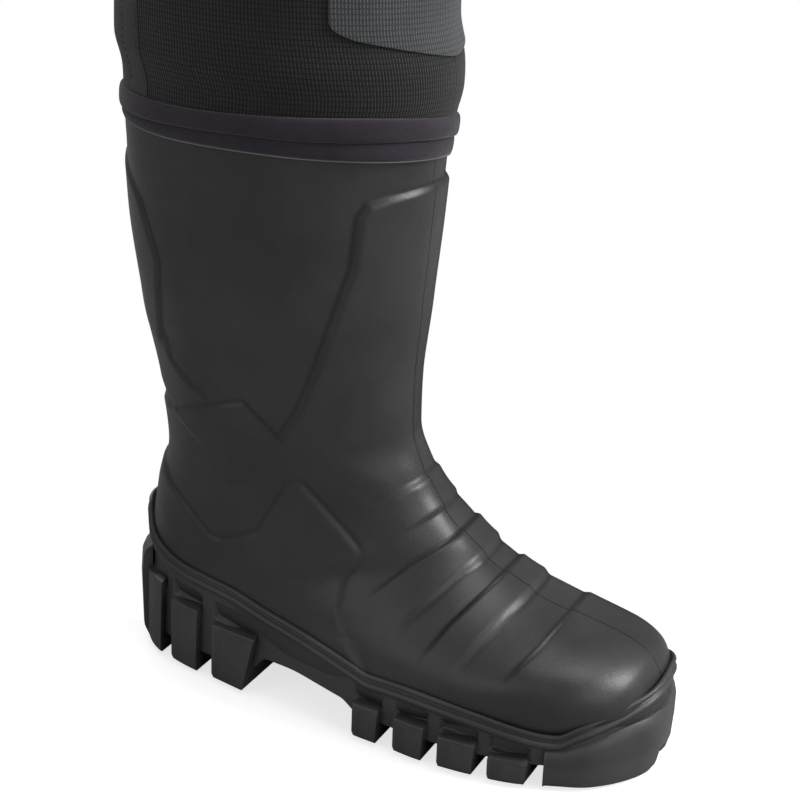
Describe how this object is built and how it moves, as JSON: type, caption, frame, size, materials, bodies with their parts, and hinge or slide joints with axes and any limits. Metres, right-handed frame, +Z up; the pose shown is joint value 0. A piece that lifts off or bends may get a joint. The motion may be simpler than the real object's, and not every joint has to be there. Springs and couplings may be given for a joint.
{
  "type": "chest waders",
  "caption": "Neoprene chest waders with moulded rubber boots, knee and shin guards, a zipped bib pocket, a waist belt and buckled shoulder braces.",
  "frame": {"origin": "on the ground, midway between the boots and under the axis of the boot shafts", "axes": "+Z up, the wearer faces -Y, the wearer's right side is at -X"},
  "size_m": [0.4284, 0.3694, 1.521],
  "materials": {
    "boot_rubber": "satin moulded EVA, warm black, soft highlights",
    "outsole_rubber": "matte cleated rubber",
    "insole_foam": "grey felt-topped foam",
    "lining": "brushed knit lining",
    "binding_tape": "purple-black stretch seam tape, low sheen",
    "neoprene_black": "ribbed knit over neoprene, matte",
    "neoprene_grey": "coarse grey reinforcing knit, matte",
    "stripe": "smooth grey seam stripe",
    "pocket_cloth": "woven nylon",
    "zip_tape_cloth": "zip tape with moulded teeth",
    "webbing": "woven polyester webbing",
    "elastic": "ribbed elastic webbing",
    "hardware_plastic": "fine-grained black acetal",
    "button_plastic": "fine-grained grey acetal",
    "cast_zinc": "satin nickel plating",
    "spring_steel": "drawn wire",
    "cord": "braided cord"
  },
  "bodies": {
    "torso": {"seat_panel": "neoprene_black", "crotch_gusset": "neoprene_black", "bib_front": "neoprene_black", "bib_back": "neoprene_black", "side_gussets": "stripe", "top_hem": "binding_tape", "chest_pocket": "pocket_cloth", "zip_tape": "zip_tape_cloth", "waist_belt": "webbing", "belt_loops": "webbing", "belt_socket": "hardware_plastic", "brace_right": "webbing", "brace_left": "webbing", "brace_yoke": "hardware_plastic", "back_elastic": "elastic", "brace_tabs": "webbing", "brace_socket_right": "hardware_plastic", "brace_socket_left": "hardware_plastic", "d_ring_tabs": "webbing", "hem_drawcord": "cord"},
    "thigh_right": {"upper_leg_right": "neoprene_black", "knee_pad_right": "neoprene_grey"},
    "shin_right": {"lower_leg_right": "neoprene_black", "shin_guard_right": "neoprene_grey", "leg_stripe_right": "stripe", "cuff_tape_right": "binding_tape", "inner_seam_tape_right": "binding_tape", "boot_shell_right": "boot_rubber", "boot_lining_right": "lining", "outsole_right": "outsole_rubber", "insole_right": "insole_foam"},
    "thigh_left": {"upper_leg_left": "neoprene_black", "knee_pad_left": "neoprene_grey"},
    "shin_left": {"lower_leg_left": "neoprene_black", "shin_guard_left": "neoprene_grey", "leg_stripe_left": "stripe", "cuff_tape_left": "binding_tape", "inner_seam_tape_left": "binding_tape", "boot_shell_left": "boot_rubber", "boot_lining_left": "lining", "outsole_left": "outsole_rubber", "insole_left": "insole_foam"},
    "zip_slider": {"zip_slider": "cast_zinc"},
    "zip_pull": {"zip_pull": "cast_zinc"},
    "belt_plug": {"belt_plug": "hardware_plastic"},
    "belt_prong_upper": {"belt_prong_upper": "hardware_plastic"},
    "belt_prong_lower": {"belt_prong_lower": "hardware_plastic"},
    "brace_plug_right": {"brace_plug_right": "hardware_plastic"},
    "brace_prong_outer_right": {"brace_prong_outer_right": "hardware_plastic"},
    "brace_prong_inner_right": {"brace_prong_inner_right": "hardware_plastic"},
    "brace_adjuster_right": {"brace_adjuster_right": "hardware_plastic"},
    "d_ring_right": {"d_ring_right": "cast_zinc"},
    "brace_plug_left": {"brace_plug_left": "hardware_plastic"},
    "brace_prong_outer_left": {"brace_prong_outer_left": "hardware_plastic"},
    "brace_prong_inner_left": {"brace_prong_inner_left": "hardware_plastic"},
    "brace_adjuster_left": {"brace_adjuster_left": "hardware_plastic"},
    "d_ring_left": {"d_ring_left": "cast_zinc"},
    "cord_lock": {"cord_lock_barrel": "hardware_plastic", "cord_lock_spring": "spring_steel"},
    "cord_lock_button": {"cord_lock_button": "button_plastic"}
  },
  "joints": [
    {"name": "hip_right", "type": "hinge", "parent": "torso", "child": "thigh_right", "pos_m": [-0.108, 0, 0.8], "axis": [-1, 0, 0], "range_deg": [0, 30]},
    {"name": "knee_right", "type": "hinge", "parent": "thigh_right", "child": "shin_right", "pos_m": [-0.13, 0.01, 0.52], "axis": [1, 0, 0], "range_deg": [0, 50]},
    {"name": "hip_left", "type": "hinge", "parent": "torso", "child": "thigh_left", "pos_m": [0.108, 0, 0.8], "axis": [-1, 0, 0], "range_deg": [0, 30]},
    {"name": "knee_left", "type": "hinge", "parent": "thigh_left", "child": "shin_left", "pos_m": [0.13, 0.01, 0.52], "axis": [1, 0, 0], "range_deg": [0, 50]},
    {"name": "zip_travel", "type": "slide", "parent": "torso", "child": "zip_slider", "axis": [0, 0, -1], "range_m": [0, 0.11]},
    {"name": "zip_pull_swing", "type": "hinge", "parent": "zip_slider", "child": "zip_pull", "pos_m": [0, -0.16081, 1.24], "axis": [-1, 0, 0], "range_deg": [0, 120]},
    {"name": "belt_release", "type": "slide", "parent": "torso", "child": "belt_plug", "axis": [1, 0, 0], "range_m": [0, 0.02]},
    {"name": "belt_prong_upper_pinch", "type": "hinge", "parent": "belt_plug", "child": "belt_prong_upper", "pos_m": [0.0044, -0.13638, 1.0628], "axis": [0, -1, 0], "range_deg": [0, 5]},
    {"name": "belt_prong_lower_pinch", "type": "hinge", "parent": "belt_plug", "child": "belt_prong_lower", "pos_m": [0.0044, -0.13638, 1.0332], "axis": [0, 1, 0], "range_deg": [0, 5]},
    {"name": "brace_right_release", "type": "slide", "parent": "torso", "child": "brace_plug_right", "axis": [0.0952, 0.2764, 0.9563], "range_m": [0, 0.02]},
    {"name": "brace_prong_outer_right_pinch", "type": "hinge", "parent": "brace_plug_right", "child": "brace_prong_outer_right", "pos_m": [-0.10977, -0.11152, 1.3703], "axis": [-0.3113, -0.9042, 0.2924], "range_deg": [0, 5]},
    {"name": "brace_prong_inner_right_pinch", "type": "hinge", "parent": "brace_plug_right", "child": "brace_prong_inner_right", "pos_m": [-0.08178, -0.12115, 1.3703], "axis": [0.3113, 0.9042, -0.2924], "range_deg": [0, 5]},
    {"name": "brace_adjuster_right_slide", "type": "slide", "parent": "torso", "child": "brace_adjuster_right", "axis": [0.0952, 0.2764, 0.9563], "range_m": [-0.017, 0.014]},
    {"name": "d_ring_right_swing", "type": "hinge", "parent": "torso", "child": "d_ring_right", "pos_m": [-0.058, -0.139, 1.284], "axis": [-1, 0, 0], "range_deg": [0, 100]},
    {"name": "brace_left_release", "type": "slide", "parent": "torso", "child": "brace_plug_left", "axis": [-0.0952, 0.2764, 0.9563], "range_m": [0, 0.02]},
    {"name": "brace_prong_outer_left_pinch", "type": "hinge", "parent": "brace_plug_left", "child": "brace_prong_outer_left", "pos_m": [0.10977, -0.11152, 1.3703], "axis": [-0.3113, 0.9042, -0.2924], "range_deg": [0, 5]},
    {"name": "brace_prong_inner_left_pinch", "type": "hinge", "parent": "brace_plug_left", "child": "brace_prong_inner_left", "pos_m": [0.08178, -0.12115, 1.3703], "axis": [0.3113, -0.9042, 0.2924], "range_deg": [0, 5]},
    {"name": "brace_adjuster_left_slide", "type": "slide", "parent": "torso", "child": "brace_adjuster_left", "axis": [-0.0952, 0.2764, 0.9563], "range_m": [-0.017, 0.014]},
    {"name": "d_ring_left_swing", "type": "hinge", "parent": "torso", "child": "d_ring_left", "pos_m": [0.058, -0.139, 1.284], "axis": [-1, 0, 0], "range_deg": [0, 100]},
    {"name": "cord_lock_slide", "type": "slide", "parent": "torso", "child": "cord_lock", "axis": [1, 0, 0], "range_m": [-0.018, 0.008]},
    {"name": "cord_lock_press", "type": "slide", "parent": "cord_lock", "child": "cord_lock_button", "axis": [0, 0, -1], "range_m": [0, 0.003], "stiffness_N_per_m": 400, "deforming": ["cord_lock_spring"]}
  ],
  "couplings": [
    {"joint": "belt_prong_lower_pinch", "follows": "belt_prong_upper_pinch", "ratio": 1},
    {"joint": "brace_prong_inner_right_pinch", "follows": "brace_prong_outer_right_pinch", "ratio": 1},
    {"joint": "brace_prong_inner_left_pinch", "follows": "brace_prong_outer_left_pinch", "ratio": 1}
  ]
}
